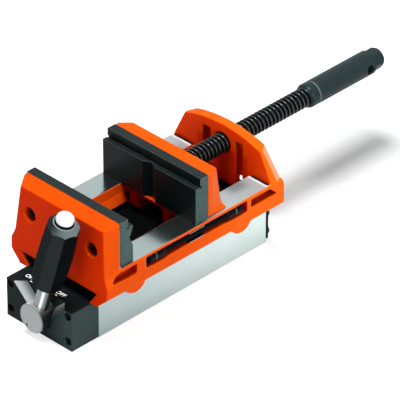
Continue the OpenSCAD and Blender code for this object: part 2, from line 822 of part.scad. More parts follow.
// Moving jaw body with drafted back, bevelled flanks, spindle boss and guide tongue
module moving_jaw() {
    low = zr + slide_gap;
    flank = [carriage_x + 3.8, jw, jaw_top];
    color([1, 0.36, 0.02])
        difference() {
            union() {
                difference() {
                    along_y(-jw, jw)
                        polygon([[carriage_x, low], [foot_x - 0.7, low], [foot_x - 0.7, low + 4.4],
                            [carriage_x1 + 5.3, zr + 12.4], [carriage_x1, jaw_top - 1.3],
                            [carriage_x1 - 1.3, jaw_top], [carriage_x, jaw_top]]);
                    mirror([0, 1, 0])
                        beyond(flank, flank + [8.8, -3.5, 0], flank + [0, 0.4, -35.3]);
                    beyond(flank, flank + [8.8, -8.8, 0], flank + [0, 0.4, -35.3]);
                }
                hull() {
                    foot_slab(low, 1, 0);
                    foot_slab(low + 3, 0.1, 0.6);
                }
                hull() {
                    foot_slab(low + 3, 0.1, 0.6);
                    foot_slab(low + 9, 0.1, 1);
                }
                rod_x(carriage_x + 1, boss_x1, boss_r, 0, sz);
                block([tongue_x0, -sw + slide_gap, tongue_z], [tongue_x1, sw - slide_gap, low + 1]);
                both_sides()
                    along_y(leg_y0, leg_y1)
                        polygon([[tongue_x0, leg_z + 2.7], [tongue_x0 + 2.7, leg_z],
                            [tongue_x1 - 2.7, leg_z],
                            [tongue_x1, leg_z + 2.7], [tongue_x1, tongue_z + 1],
                            [tongue_x0, tongue_z + 1]]);
            }
            block([tongue_x0 - 1, -jw - 1, zr + slide_gap], [carriage_x, jw + 1, jaw_top + 1]);
            rod_x(carriage_x + 2.7, boss_x1 + 1, journal_r + run_gap, 0, sz);
            both_sides() {
                rod_z(sz - boss_r + 1.7, sz + boss_r, pin_r, groove_x, groove_r + pin_r + 0.05);
                rod_x(carriage_x - 1, boss_x1 + 8, thick_screw_r + screw_gap, jaw_screw_y, jaw_screw_z);
                rod_x(carriage_x + 4.9, boss_x1 + 8, jaw_screw_d / 2 + 0.4, jaw_screw_y,
                    jaw_screw_z);
                for (x = keeper_screw_xs)
                    rod_z(leg_z - 1, leg_z + 10.6, thin_screw_r + screw_gap, x, keeper_screw_y);
            }
        }
}

module keeper_plate() {
    color("dimgray")
        difference() {
            block([tongue_x0 + 4.4, -knee_in + 1.3, keeper_z0], [tongue_x1 - 1.8, knee_in - 1.3, leg_z]);
            both_sides()
                for (x = keeper_screw_xs) {
                    rod_z(keeper_z0 - 1, leg_z + 1, thin_screw_r + screw_gap, x, keeper_screw_y);
                    rod_z(keeper_z0 - 1, keeper_z0 + 2.3, keeper_head_r + 0.3, x, keeper_screw_y);
                }
        }
}

module keeper_screws() {
    color([0.2, 0.2, 0.2])
        both_sides()
            for (x = keeper_screw_xs) {
                rod_z(keeper_z0 + 0.1, keeper_z0 + 2.3, keeper_head_r, x, keeper_screw_y);
                rod_z(keeper_z0 + 2.2, leg_z + 9.7, thin_screw_r, x, keeper_screw_y);
            }
}

// Spindle: grooved journal, threaded length drawn at its outer diameter, tenon for the handle
module spindle() {
    g0 = groove_x - pin_r - 0.1;
    g1 = groove_x + pin_r + 0.1;
    color([0.1, 0.1, 0.11])
        translate([0, 0, sz])
            rotate([0, 90, 0])
                rotate_extrude()
                    polygon([[0, carriage_x + 3.2], [journal_r - 1, carriage_x + 3.2],
                        [journal_r, carriage_x + 4.1], [journal_r, g0], [groove_r, g0],
                        [groove_r, g1], [journal_r, g1], [journal_r, thread_x0],
                        [spindle_r, thread_x0], [spindle_r, sleeve_x0], [tenon_r, sleeve_x0],
                        [tenon_r, tenon_x1], [0, tenon_x1]]);
}

module spindle_pins() {
    color("silver")
        both_sides()
            rod_z(sz - boss_r + 1.8, sz + boss_r - 1.9, pin_r, groove_x, groove_r + pin_r + 0.05);
}

module spindle_nut() {
    color("peru")
        difference() {
            rod_x(nut_x0, nut_x1, nut_r, 0, sz);
            rod_x(nut_x0 - 1, nut_x1 + 1, spindle_r + run_gap, 0, sz);
        }
}

// Handle sleeve with rounded mouth, fine ring groove, cross hole and a stepped end with six flats
module handle_sleeve() {
    r = sleeve_d / 2;
    e = sleeve_end_d / 2;
    color([0.13, 0.15, 0.16])
        difference() {
            translate([0, 0, sz])
                rotate([0, 90, 0])
                    rotate_extrude()
                        polygon([[0, sleeve_x0], [r - 2.1, sleeve_x0], [r - 0.8, sleeve_x0 + 0.6],
                            [r, sleeve_x0 + 2.1], [r, sleeve_x0 + 8.3], [r - 0.4, sleeve_x0 + 8.7],
                            [r - 0.4, sleeve_x0 + 9.4], [r, sleeve_x0 + 9.7], [r, step_x - 1.1],
                            [e, step_x], [e, sleeve_x1 - 4], [e - 1.1, sleeve_x1 - 1.8],
                            [e - 3.4, sleeve_x1], [0, sleeve_x1]]);
            rod_x(sleeve_x0 - 1, tenon_x1 + 0.3, tenon_r, 0, sz);
            translate([cross_x, r + 1, sz])
                rotate([90, 0, 0])
                    cylinder(h = sleeve_d + 1.8, r = bar_hole_r);
            rod_z(sz - r - 1, sz - tenon_r + 1, 2.2, sleeve_x0 + 19.4, 0);
            translate([step_x, 0, sz])
                rotate([0, 90, 0])
                    difference() {
                        cylinder(h = sleeve_end_len + 1, r = r + 1);
                        translate([0, 0, -1])
                            rotate([0, 0, 30])
                                cylinder(h = sleeve_end_len + 3, r = sleeve_flats / sqrt(3), $fn = 6);
                    }
        }
}

module sleeve_screw() {
    color("gray")
        difference() {
            rod_z(sz - sleeve_d / 2 + 0.5, sz - tenon_r - 0.1, 2.2, sleeve_x0 + 19.4, 0);
            translate([sleeve_x0 + 19.4, 0, sz - sleeve_d / 2 - 1])
                cylinder(h = 2.8, r = 1.2, $fn = 6);
        }
}

module tommy_bar() {
    color([0.16, 0.17, 0.18])
        rod_x(bar_mid - bar_len / 2 + 3.5, bar_mid + bar_len / 2 - 3.5, bar_r, bar_y, bar_z);
}

module bar_caps() {
    r = bar_cap_d / 2;
    color([0.05, 0.05, 0.06])
        for (s = [-1, 1])
            translate([bar_mid + s * bar_len / 2, bar_y, bar_z])
                rotate([0, -90 * s, 0])
                    rotate_extrude()
                        polygon([[0, 0], [r - 1.3, 0], [r - 0.4, 0.4], [r, 1.4], [r, 6.2], [r - 0.4, 6.5],
                            [r - 0.4, 7.2], [r, 7.6], [r, bar_cap_len - 2.7], [bar_r + 0.3, bar_cap_len],
                            [bar_r, bar_cap_len], [bar_r, 3.5], [0, 3.5]]);
}

// Spring steel clip with two arms that hold the bar
module bar_clip() {
    arm = bar_r + 0.3;
    color("silver")
        difference() {
            along_x(bar_mid - clip_len / 2, bar_mid + clip_len / 2)
                polygon([[-fw + 0.5, bar_z - arm], [-fw + 0.5, bar_z - arm - 0.4],
                    [-slot_floor, bar_z - arm - 0.4], [-slot_floor, bar_z + arm + 0.4],
                    [-fw + 0.5, bar_z + arm + 0.4],
                    [-fw + 0.5, bar_z + arm], [-slot_floor - 0.6, bar_z + arm],
                    [-slot_floor - 0.6, bar_z - arm]]);
            translate([bar_mid, -slot_floor + 3.5, bar_z])
                rotate([90, 0, 0])
                    cylinder(h = 10.6, r = 1.4);
        }
}

module clip_rivet() {
    color("gray")
        translate([bar_mid, -slot_floor + 6.6, bar_z])
            rotate([90, 0, 0])
                rotate_extrude()
                    polygon([[0, 0], [1.4, 0], [1.4, 7.2], [2.3, 7.2], [2.3, 7.4], [1.4, 7.6], [0, 7.6]]);
}

pole_left();
pole_right();
spacer_top();
spacer_bottom();
rotor_magnet();
rotor_shaft();
front_cap();
front_bush();
cap_screws();
rear_plate();
rear_bush();
rear_plate_screws();
lever_hub();
hub_pin();
lever_stem();
lever_grip();
release_button();
button_spring();
vise_body();
adapter_plate();
adapter_screws();
frame_bolts();
fixed_jaw_plate();
fixed_jaw_screws();
moving_jaw();
moving_jaw_plate();
moving_jaw_screws();
keeper_plate();
keeper_screws();
spindle();
spindle_pins();
spindle_nut();
handle_sleeve();
sleeve_screw();
tommy_bar();
bar_caps();
bar_clip();
clip_rivet();
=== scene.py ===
"""Looks of a machine vise on a switchable magnet base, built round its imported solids.

All sizes are in metres, in the frame of the solids: +X runs along the spindle towards its handle,
-Y is the side with the stored bar, and the floor is at z = 0.
"""

import json
import math

import bmesh
import bpy
from mathutils import Matrix, Vector

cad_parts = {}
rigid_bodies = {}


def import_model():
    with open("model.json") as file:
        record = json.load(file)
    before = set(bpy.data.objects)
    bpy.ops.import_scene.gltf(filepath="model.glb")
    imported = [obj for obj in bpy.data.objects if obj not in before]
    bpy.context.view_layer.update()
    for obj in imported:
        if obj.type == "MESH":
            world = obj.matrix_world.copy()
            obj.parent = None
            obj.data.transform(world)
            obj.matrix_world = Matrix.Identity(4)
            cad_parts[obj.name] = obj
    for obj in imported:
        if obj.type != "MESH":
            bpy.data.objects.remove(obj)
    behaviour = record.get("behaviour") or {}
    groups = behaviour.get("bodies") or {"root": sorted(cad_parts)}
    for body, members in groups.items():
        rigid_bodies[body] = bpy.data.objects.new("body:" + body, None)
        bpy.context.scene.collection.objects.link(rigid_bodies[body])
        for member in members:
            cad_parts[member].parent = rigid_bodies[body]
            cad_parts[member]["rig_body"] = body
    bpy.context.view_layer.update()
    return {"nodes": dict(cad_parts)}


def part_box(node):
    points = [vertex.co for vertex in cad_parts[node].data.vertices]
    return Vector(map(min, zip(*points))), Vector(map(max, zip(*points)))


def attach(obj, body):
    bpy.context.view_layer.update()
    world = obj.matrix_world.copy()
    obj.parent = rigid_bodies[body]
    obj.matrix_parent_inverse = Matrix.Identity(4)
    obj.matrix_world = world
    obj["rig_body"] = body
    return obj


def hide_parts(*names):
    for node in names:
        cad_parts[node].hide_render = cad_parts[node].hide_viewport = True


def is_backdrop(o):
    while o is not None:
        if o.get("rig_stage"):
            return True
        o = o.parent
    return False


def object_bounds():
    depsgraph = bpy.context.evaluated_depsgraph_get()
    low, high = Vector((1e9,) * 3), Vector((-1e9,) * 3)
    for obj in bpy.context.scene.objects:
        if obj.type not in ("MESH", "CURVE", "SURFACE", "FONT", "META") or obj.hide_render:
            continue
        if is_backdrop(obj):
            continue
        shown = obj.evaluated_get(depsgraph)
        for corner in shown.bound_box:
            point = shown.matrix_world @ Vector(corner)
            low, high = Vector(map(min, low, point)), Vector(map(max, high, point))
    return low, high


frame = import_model()

MM = 0.001

# Camera, as in the photograph
CAMERA_TARGET = Vector((0.03853, -0.01475, 0.05351))
CAMERA_BACK = Vector((-0.58887, -0.58688, 0.55570))
CAMERA_RIGHT = Vector((0.7059, -0.7083, 0.0))
CAMERA_DISTANCE = 4.0513
CAMERA_LENS = 478.36
CAMERA_REACH = 50

# Sizes read from the solids
PLATE_CLEARANCE = 0.2 * MM
NUT_SET_BACK = 2.7 * MM
SLIDEWAY_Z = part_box("moving_jaw_plate")[0].z - PLATE_CLEARANCE
FRAME_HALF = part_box("vise_body")[1].y
BASE_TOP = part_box("front_cap")[1].z
CAP_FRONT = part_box("front_cap")[0].x
JAW_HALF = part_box("fixed_jaw_plate")[1].y
HUB_AXIS_Z = BASE_TOP / 2
SPINDLE_Z = (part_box("spindle")[0].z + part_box("spindle")[1].z) / 2
SPINDLE_RADIUS = (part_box("spindle")[1].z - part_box("spindle")[0].z) / 2
BRIDGE_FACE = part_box("spindle_nut")[0].x - NUT_SET_BACK
SLEEVE_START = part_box("handle_sleeve")[0].x
POLE_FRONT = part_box("pole_left")[0].x
POLE_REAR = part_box("pole_left")[1].x
BAR_MIDDLE = (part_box("bar_caps")[0].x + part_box("bar_caps")[1].x) / 2
BAR_HALF = (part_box("bar_caps")[1].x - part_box("bar_caps")[0].x) / 2

# Sizes of the frame, the spindle and the cap that the finishes and new meshes go by
SLOT_HALF = 30.7 * MM
MIRROR_END = 25 * MM
THREAD_PITCH = 4 * MM
THREAD_DEPTH = 2.25 * MM
THREAD_RUN_IN = 0.6 * MM
JOURNAL_RADIUS = 6.2 * MM
SLEEVE_MOUTH = SLEEVE_START + 8.3 * MM
NOTCH_HALF = 27.4 * MM
NOTCH_SLOPE = math.radians(43)
MARK_SIZE = 5.2 * MM
ON_WORD = (-105.4 * MM, 22.4 * MM)
ON_TICK = (-108.7 * MM, 17.3 * MM)
OFF_WORD = (-104.4 * MM, -10.2 * MM)
OFF_TICK = (-108.0 * MM, -8.6 * MM)

# Sizes of the lever, measured from the hub axis along it
LEVER_X = CAP_FRONT - 0.9 * MM
LEVER_LEAN = math.radians(17)
LEVER_AXIS = Vector((0, -math.sin(LEVER_LEAN), math.cos(LEVER_LEAN)))
LEVER_HUB = Vector((LEVER_X, 0, HUB_AXIS_Z))
# Direction across the stem by which its painted highlight and shade are placed.
STEM_SIDE = Vector((0.722, -0.662, -0.202))
GRIP_START = 35.3 * MM
GRIP_TOP = 102.4 * MM
GRIP_HALF = 13.15 * MM
GRIP_FOOT_HALF = 10.9 * MM
GRIP_TOP_HALF = 12.0 * MM
GRIP_WIDEST = 0.45
GRIP_TURN = math.radians(9)
GRIP_RIM = 8.5 * MM
GRIP_RIM_SLOPE = 0.962
GRIP_FOOT_SLOPE = 1.1
GRIP_CORNER = 1.072
# Directions by which the painted light on the grip's cone and flats is placed.
CONE_LIT_SIDE = Vector((0.3, -0.95, 0))
GRIP_LIT_SIDE = Vector((-0.97, -0.24, 0))
BUTTON_RADIUS = 6.9 * MM
BUTTON_TOP = 109.5 * MM
BUTTON_SEAT = 98.0 * MM
BUTTON_DOME = 3.0 * MM


# Shader nodes as expressions

class Wire:
    """One output of a shader node; arithmetic on it adds Math nodes."""

    def __init__(self, finish, socket):
        self.finish = finish
        self.socket = socket

    def math(self, operation, first, second=0.0):
        return self.finish.node("ShaderNodeMath", {"operation": operation}, {0: first, 1: second})

    def __add__(self, other):
        return self.math("ADD", self, other)

    def __sub__(self, other):
        return self.math("SUBTRACT", self, other)

    def __rsub__(self, other):
        return self.math("SUBTRACT", other, self)

    def __mul__(self, other):
        return self.math("MULTIPLY", self, other)

    def __abs__(self):
        return self.math("ABSOLUTE", self)

    __radd__ = __add__
    __rmul__ = __mul__

    def rise(self, low, high, bottom=0.0, top=1.0):
        """A smooth step: bottom below low, top above high."""
        sockets = {"Value": self, "From Min": low, "From Max": high, "To Min": bottom, "To Max": top}
        return self.finish.node("ShaderNodeMapRange", {"interpolation_type": "SMOOTHSTEP"}, sockets)

    def fall(self, low, high):
        """A smooth step down: 1 below low, 0 above high."""
        return self.rise(low, high, 1.0, 0.0)

    def band(self, start, full, drop, end):
        """1 from full to drop, 0 before start and after end."""
        return self.rise(start, full) * self.fall(drop, end)


class Finish:
    """A material with one Principled shader, built from expressions."""

    def __init__(self, name, **constants):
        self.material = bpy.data.materials.new(name)
        self.material.use_nodes = True
        self.tree = self.material.node_tree
        self.shader = self.tree.nodes["Principled BSDF"]
        for key, value in constants.items():
            self.shader.inputs[key.replace("_", " ")].default_value = value

    def feed(self, socket, value):
        if isinstance(value, Wire):
            self.tree.links.new(value.socket, socket)
        else:
            socket.default_value = value

    def node(self, kind, settings=None, sockets=None, output=0):
        """Adds a node: its settings first, then the values or links of its sockets."""
        made = self.tree.nodes.new(kind)
        for key, value in (settings or {}).items():
            setattr(made, key, value)
        for key, value in (sockets or {}).items():
            self.feed(made.inputs[key], value)
        return Wire(self, made.outputs[output])

    def show(self, **wires):
        """Links wires to the shader's own sockets."""
        for key, value in wires.items():
            self.feed(self.shader.inputs[key.replace("_", " ")], value)
        return self

    def place(self):
        return self.node("ShaderNodeTexCoord", output="Object")

    def outward(self):
        """The surface normal in the piece's own axes."""
        return self.node("ShaderNodeTexCoord", output="Normal")

    def along(self, vector):
        """The three parts of a vector."""
        return [self.node("ShaderNodeSeparateXYZ", None, {0: vector}, part) for part in range(3)]

    def facing(self):
        """The three parts of the surface normal in the piece's own axes."""
        return self.along(self.outward())

    def dot(self, vector, direction):
        sockets = {0: vector, 1: direction}
        return self.node("ShaderNodeVectorMath", {"operation": "DOT_PRODUCT"}, sockets, "Value")

    def from_axis(self, axis_z):
        """Distance from a line along X at the given height."""
        y, z = self.along(self.place())[1:]
        height = z - axis_z
        return self.node("ShaderNodeMath", {"operation": "SQRT"}, {0: y * y + height * height})

    def noise(self, size, detail=2.0, stretch=(1, 1, 1), roughness=0.5):
        """Noise from 0 to 1 whose blotches are about size across."""
        place = self.node("ShaderNodeVectorMath", {"operation": "MULTIPLY"}, {0: self.place(), 1: stretch})
        sockets = {"Vector": place, "Scale": 1 / size, "Detail": detail, "Roughness": roughness}
        return self.node("ShaderNodeTexNoise", None, sockets)

    def mix(self, factor, first, second):
        """A colour between two colours."""
        return self.node("ShaderNodeMix", {"data_type": "RGBA"}, {0: factor, 6: first, 7: second}, 2)

    def round_edges(self, radius):
        return self.node("ShaderNodeBevel", {"samples": 6}, {"Radius": radius})

    def edge(self, radius, low=0.02, high=0.25):
        """1 along the sharp edges of the solid, 0 on its faces."""
        true_normal = self.node("ShaderNodeNewGeometry", output="Normal")
        agree = self.dot(self.round_edges(radius), true_normal)
        return (1 - agree).rise(low, high)

    def sheltered(self, reach, low, high):
        """1 deep inside recesses, 0 on open faces."""
        openness = self.node("ShaderNodeAmbientOcclusion", {"samples": 8}, {"Distance": reach}, "AO")
        return openness.fall(low, high)

    def seen_directly(self):
        """1 for rays from the camera and for what mirrors and glass show, 0 for rays of scattered light."""
        kinds = ["Is Camera Ray", "Is Glossy Ray", "Is Transmission Ray"]
        camera, glossy, through = [self.node("ShaderNodeLightPath", output=kind) for kind in kinds]
        clamped_sum = {"operation": "ADD", "use_clamp": True}
        return self.node("ShaderNodeMath", clamped_sum, {0: camera, 1: glossy + through})

    def bump(self, height, depth, normal=None):
        sockets = {"Height": height, "Distance": depth, "Strength": 1.0}
        if normal is not None:
            sockets["Normal"] = normal
        return self.node("ShaderNodeBump", None, sockets)


def colour(red, green, blue):
    return (red, green, blue, 1.0)


WHITE = colour(1, 1, 1)
BLACK = colour(0, 0, 0)


# Enamel of the two castings and the ground slideways

ORANGE = colour(0.78, 0.083, 0.003)
# Painted light: the enamel is made brighter towards the bridge.
ORANGE_LIT_REAR = colour(0.98, 0.14, 0.006)
# Painted shade on faces across the spindle, at the front and towards the bridge.
ORANGE_FACE_SHADE = colour(0.67, 0.026, 0.0002)
ORANGE_FACE_SHADE_REAR = colour(1.0, 0.055, 0.0003)
# Painted reflection on the bevels that face the handle.
ORANGE_BEVEL_REFLECTION = colour(0.95, 0.42, 0.23)
# Painted light on the far wall of the slot.
ORANGE_LIT_WALL = colour(1.0, 0.085, 0.003)
# Painted shade below the spindle nut.
ORANGE_NUT_SHADE = colour(0.72, 0.016, 0.001)
ORANGE_SHADE = colour(0.34, 0.005, 0.0002)
GUIDE_SHADE = colour(0.15, 0.002, 0.001)
RAIL_STEEL = colour(0.42, 0.51, 0.51)
# Painted shade on the slideways before the bridge.
RAIL_SHADE_BEFORE_BRIDGE = colour(0.16, 0.20, 0.20)
# Painted highlight on the last few millimetres of the slideways.
RAIL_END_HIGHLIGHT = colour(0.74, 0.86, 0.87)
# Painted shadow: a black line in the undercut at the foot of the bridge.
UNDERCUT_SHADOW = colour(0.010, 0.011, 0.012)
ENAMEL_SHEEN = 0.02
PEEL_DEPTH = 0.05 * MM


def enamel(f, bevel_reflection_share):
    """Colour, roughness and relief of the paint on both castings, with painted light and shade: painted shade
    on faces across the spindle, painted light towards the bridge and on the far wall of the slot, a painted
    reflection on bevels that face the handle, and painted shade in deep recesses."""
    x, y = f.along(f.place())[:2]
    normal_x, normal_y = f.facing()[:2]
    blotch = f.noise(14 * MM, 3)
    # painted light: brighter towards the bridge
    rear = x.rise(-30 * MM, BRIDGE_FACE)
    plain = f.mix(rear, ORANGE, ORANGE_LIT_REAR)
    # painted shade on faces across the spindle
    deep = f.mix(rear, ORANGE_FACE_SHADE, ORANGE_FACE_SHADE_REAR)
    paint = f.mix(abs(normal_x).rise(0.5, 0.9) * 0.9 + blotch * 0.1, plain, deep)
    # painted reflection on bevels that face the handle
    bevel_reflection = normal_x.rise(0.12, 0.4) * abs(normal_y).rise(0.35, 0.6)
    paint = f.mix(bevel_reflection * bevel_reflection_share, paint, ORANGE_BEVEL_REFLECTION)
    # painted light on the far wall of the slot, which also gets less painted shade
    lit_slot_wall = normal_y.fall(-0.9, -0.5) * y.rise(SLOT_HALF - 1 * MM, SLOT_HALF - 0.5 * MM)
    paint = f.mix(lit_slot_wall * 0.8, paint, ORANGE_LIT_WALL)
    # painted shade in deep recesses, from ambient occlusion
    recess = f.sheltered(18 * MM, 0.25, 0.8)
    paint = f.mix(recess * (0.9 - lit_slot_wall * 0.65), paint, ORANGE_SHADE)
    peel = f.noise(1.3 * MM, 2) + f.noise(6 * MM, 2) * 1.6
    return paint, blotch.rise(0.3, 0.7, 0.30, 0.38), peel


def frame_enamel(name):
    """The frame's enamel, with painted shade below the spindle nut, and the tops of both slideways ground
    bare up
    to the bridge: mirror-like between the jaws, duller behind them, with a spot of painted shade before the
    bridge, a painted highlight at their end and a black line of painted shadow in the undercut at the
    bridge's foot."""
    f = Finish(name, Specular_IOR_Level=ENAMEL_SHEEN)
    paint, gloss, peel = enamel(f, 0.8)
    x, y, z = f.along(f.place())
    side = abs(y)
    # painted shade on the column below the spindle nut
    nut_shade = side.fall(25 * MM, 28 * MM) * z.fall(SPINDLE_Z - 4 * MM, SPINDLE_Z)
    paint = f.mix(nut_shade * x.rise(40 * MM, 45 * MM) * 0.6, paint, ORANGE_NUT_SHADE)
    on_rail = side.band(SLOT_HALF + 0.2 * MM, SLOT_HALF + 0.5 * MM, FRAME_HALF - 1.9 * MM,
                        FRAME_HALF - 1.5 * MM)
    # painted shadow in the undercut where the slideways meet the bridge
    corner_x = x.band(BRIDGE_FACE - 2.1 * MM, BRIDGE_FACE - 1.7 * MM, BRIDGE_FACE + 0.2 * MM,
                      BRIDGE_FACE + 0.5 * MM)
    corner_z = z.band(SLIDEWAY_Z - 3 * MM, SLIDEWAY_Z - 2 * MM, SLIDEWAY_Z - 0.3 * MM, SLIDEWAY_Z + 0.1 * MM)
    paint = f.mix(corner_x * corner_z * on_rail, paint, UNDERCUT_SHADOW)
    level = abs(z - SLIDEWAY_Z).fall(0.35 * MM, 0.5 * MM) * f.facing()[2].rise(0.8, 0.92)
    ground = level * on_rail * x.fall(BRIDGE_FACE + 0.2 * MM, BRIDGE_FACE + 0.8 * MM)
    # painted shade on the slideways before the bridge
    bridge_shade_x = abs(x - (BRIDGE_FACE - 20 * MM)).fall(2 * MM, 15 * MM)
    wear_and_shade = bridge_shade_x * side.fall(SLOT_HALF + 4 * MM, SLOT_HALF + 15 * MM)
    metal = f.mix(wear_and_shade * 0.75, RAIL_STEEL, RAIL_SHADE_BEFORE_BRIDGE)
    # painted highlight at the end of the slideways
    metal = f.mix(x.rise(BRIDGE_FACE - 5 * MM, BRIDGE_FACE - 4.4 * MM), metal, RAIL_END_HIGHLIGHT)
    rail_gloss = f.noise(0.5 * MM, 2, (0.04, 1, 1)) * 0.04 + x.rise(0, MIRROR_END, 0.15, 0.27)
    return f.show(
        Base_Color=f.mix(ground, paint, metal),
        Metallic=ground * x.rise(0, MIRROR_END, 0.99, 0.25),
        Roughness=gloss * (1 - ground) + rail_gloss * ground,
        Normal=f.bump(peel * (1 - ground), PEEL_DEPTH),
    ).material


def jaw_enamel(name):
    """The moving jaw's enamel, shaded where its guide reaches down between the slideways."""
    f = Finish(name, Specular_IOR_Level=ENAMEL_SHEEN)
    paint, gloss, peel = enamel(f, 0.1)
    guide = f.along(f.place())[2].fall(SLIDEWAY_Z - 0.6 * MM, SLIDEWAY_Z + 0.1 * MM)
    return f.show(
        Base_Color=f.mix(guide * 0.92, paint, GUIDE_SHADE),
        Roughness=gloss,
        Normal=f.bump(peel, PEEL_DEPTH),
    ).material


# Ground and turned steel

# Painted light on the pole sides: darker at the front, paler at the rear.
POLE_SHADED_FRONT = colour(0.42, 0.55, 0.56)
POLE_LIT_REAR = colour(0.78, 0.96, 0.94)
POLE_LINES = colour(0.20, 0.25, 0.25)
# Painted highlight on the top of the hub.
HUB_TOP_HIGHLIGHT = colour(0.72, 0.76, 0.76)
STEM_TONE = colour(0.24, 0.27, 0.27)
# Painted highlight stripe along the front of the stem.
STEM_HIGHLIGHT_STRIPE = colour(0.96, 0.98, 0.98)
# Painted shade on the near sides of the hub and the stem.
UNLIT_STEEL = colour(0.03, 0.036, 0.036)
GRIND_LINE = 0.35 * MM
GRIND_DEPTH = 0.012 * MM
GRIND_ALONG_X = (0.05, 1, 1)
STEEL_CLOUD = 25 * MM
HAZE = 6 * MM
HAZE_DEPTH = 0.006 * MM


def ground_steel(name, light, dark, grain=GRIND_ALONG_X, gloss=0.36, metallic=1.0):
    """Ground or turned steel: fine lines along the grain and a faint cloudiness."""
    f = Finish(name, Metallic=metallic)
    lines = f.noise(GRIND_LINE, 3, grain)
    cloud = f.noise(STEEL_CLOUD, 3)
    return f.show(
        Base_Color=f.mix(lines * 0.6 + cloud * 0.4, dark, light),
        Roughness=lines * 0.14 + cloud * 0.08 + (gloss - 0.11),
        Normal=f.bump(lines, GRIND_DEPTH, f.round_edges(0.5 * MM)),
    ).material


def yellow_metal(name, light, dark):
    """Brass or bronze with fine turning lines."""
    return ground_steel(name, light, dark, (1, 0.1, 0.1), 0.34)


def pole_steel(name):
    """Ground pole sides, with painted light: darker at the front and paler towards the rear of the base."""
    f = Finish(name, Metallic=0.35)
    lines = f.noise(GRIND_LINE, 3, GRIND_ALONG_X)
    cloud = f.noise(STEEL_CLOUD, 3)
    rear = f.along(f.place())[0].rise(POLE_FRONT - 20 * MM, POLE_REAR + 10 * MM)
    tone = f.mix(rear, POLE_SHADED_FRONT, POLE_LIT_REAR)
    return f.show(
        Base_Color=f.mix(lines * 0.06 + cloud * 0.04, tone, POLE_LINES),
        Roughness=lines * 0.14 + cloud * 0.08 + 0.35,
        Normal=f.bump(lines, GRIND_DEPTH, f.round_edges(0.5 * MM)),
    ).material


def hub_steel(name, light, dark, gloss):
    """Turned lever hub: faint rings about its axis, a painted highlight on top and painted shade on the near
    side.
    """
    f = Finish(name, Metallic=0.7)
    ring_spacing = 0.45 * MM
    phase = f.from_axis(HUB_AXIS_Z) * (2 * math.pi / ring_spacing)
    rings = f.node("ShaderNodeMath", {"operation": "SINE"}, {0: phase})
    cloud = f.noise(8 * MM, 3)
    normal_y, normal_z = f.facing()[1:]
    # painted highlight on top, painted shade on the near side
    tone = f.mix(normal_z.rise(0.7, 0.95), f.mix(cloud, dark, light), HUB_TOP_HIGHLIGHT)
    return f.show(
        Base_Color=f.mix(normal_y.fall(-0.95, -0.5), tone, UNLIT_STEEL),
        Roughness=cloud * 0.10 + (gloss - 0.05),
        Normal=f.bump(rings + cloud, 0.002 * MM, f.round_edges(0.4 * MM)),
    ).material


def stem_steel(name):
    """Turned lever stem: a painted highlight stripe along its front, painted shade on the near side."""
    f = Finish(name, Metallic=0.75)
    sideways = f.dot(f.outward(), STEM_SIDE)
    haze = f.noise(HAZE, 3)
    # painted highlight stripe along the front, painted shade on the near side
    tone = f.mix(abs(sideways + 0.28).fall(0.06, 0.26), STEM_TONE, STEM_HIGHLIGHT_STRIPE)
    return f.show(
        Base_Color=f.mix(sideways.rise(0.05, 0.6), tone, UNLIT_STEEL),
        Roughness=haze * 0.05 + 0.26,
        Normal=f.bump(haze, HAZE_DEPTH, f.round_edges(0.25 * MM)),
    ).material


def polished_steel(name, tone, gloss):
    """Polished or plated metal with a slight haze."""
    f = Finish(name, Metallic=1.0, Base_Color=tone)
    haze = f.noise(HAZE, 3)
    return f.show(
        Roughness=haze * 0.05 + gloss,
        Normal=f.bump(haze, HAZE_DEPTH, f.round_edges(0.25 * MM)),
    ).material


# Black coating of the base's end pieces

COATING = colour(0.0055, 0.0105, 0.0115)
COATING_PALE = colour(0.0095, 0.0172, 0.0184)
COATING_WORN = colour(0.11, 0.125, 0.125)
# Painted light on the cap's sides towards the near corner.
COATING_LIT_SIDE = colour(0.042, 0.068, 0.068)
# Bare metal of the notch walls, lit at one end and with painted shade at the other.
NOTCH_LIT = colour(0.60, 0.65, 0.64)
NOTCH_SHADED = colour(0.16, 0.19, 0.19)
COATING_SHEEN = 0.05


def satin_black(f):
    """Colour, roughness and relief of a satin black coating with faint wear on its edges."""
    grain = f.noise(0.8 * MM, 3)
    cloud = f.noise(18 * MM, 3)
    wear_and_shade = f.edge(0.35 * MM) * grain.rise(0.35, 0.65)
    coat = f.mix(wear_and_shade * 0.4, f.mix(cloud, COATING, COATING_PALE), COATING_WORN)
    return coat, grain * 0.12 + 0.40, f.bump(grain, 0.03 * MM, f.round_edges(0.4 * MM))


def rear_plate_coating(name):
    f = Finish(name, Specular_IOR_Level=COATING_SHEEN)
    coat, gloss, relief = satin_black(f)
    return f.show(Base_Color=coat, Roughness=gloss, Normal=relief).material


def notch_wall(f, side):
    """1 on the bevelled end wall of the swing notch on one side, +1 or -1 in Y."""
    edge = Vector((0, -math.cos(NOTCH_SLOPE), -math.sin(NOTCH_SLOPE)))
    back = Vector((1, -1, 0))
    normal = edge.cross(back).normalized()
    corner = Vector((CAP_FRONT, NOTCH_HALF, BASE_TOP))
    flip = Vector((1, side, 1))
    away = f.dot(f.place(), normal * flip) - normal.dot(corner)
    agree = f.dot(f.outward(), normal * flip)
    return abs(away).fall(0.08 * MM, 0.2 * MM) * abs(agree).rise(0.9, 0.97)


